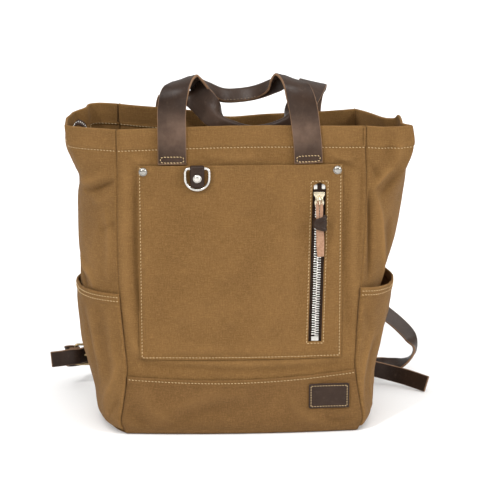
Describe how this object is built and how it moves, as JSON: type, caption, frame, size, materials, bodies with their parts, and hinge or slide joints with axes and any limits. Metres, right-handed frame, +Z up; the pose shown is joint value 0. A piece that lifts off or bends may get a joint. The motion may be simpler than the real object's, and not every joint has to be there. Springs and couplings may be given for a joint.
{
  "type": "backpack",
  "caption": "Open-topped canvas tote backpack with leather carrying handles and shoulder straps, a zipped front pocket, side pockets and a D-ring.",
  "frame": {"origin": "Middle of the flat underside, where the bag stands on a level surface.", "axes": "+Z up, +X to the right as seen from the front, -Y out of the front face that carries the zipped pocket."},
  "size_m": [0.4647, 0.2212, 0.4168],
  "materials": {
    "canvas": "matte waxed cotton canvas, tobacco brown",
    "leather": "dark brown, semi-matte, raw tan edges",
    "raw_leather": "raw tan, matte",
    "nickel": "polished nickel",
    "antique_brass": "dark antique, worn bright at the edges",
    "zip_tape": "woven dark brown tape",
    "closure_tape": "woven tan tape"
  },
  "bodies": {
    "bag": {"front_panel": "canvas", "gusset_right": "canvas", "back_panel": "canvas", "gusset_left": "canvas", "base_band": "canvas", "front_pocket": "canvas", "zip_tape": "zip_tape", "zip_chain": "nickel", "zip_top_stop_left": "nickel", "zip_top_stop_right": "nickel", "zip_bottom_stop": "nickel", "zip_slider": "nickel", "zip_pull": "raw_leather", "pocket_rivet_left": "nickel", "pocket_rivet_right": "nickel", "ring_tab": "leather", "tab_rivet": "nickel", "label_patch": "leather", "side_pocket_left": "canvas", "side_pocket_right": "canvas", "handle_front": "leather", "handle_back": "leather", "shoulder_strap_left": "leather", "lower_strap_left": "leather", "buckle_left": "antique_brass", "shoulder_strap_right": "leather", "lower_strap_right": "leather", "buckle_right": "antique_brass", "closure_zip_end": "closure_tape"},
    "ring": {"d_ring": "nickel"}
  },
  "joints": [
    {"name": "d_ring_hinge", "type": "hinge", "parent": "bag", "child": "ring", "pos_m": [-0.05, -0.06939, 0.316], "axis": [-1, 0, 0], "range_deg": [0, 165]}
  ]
}
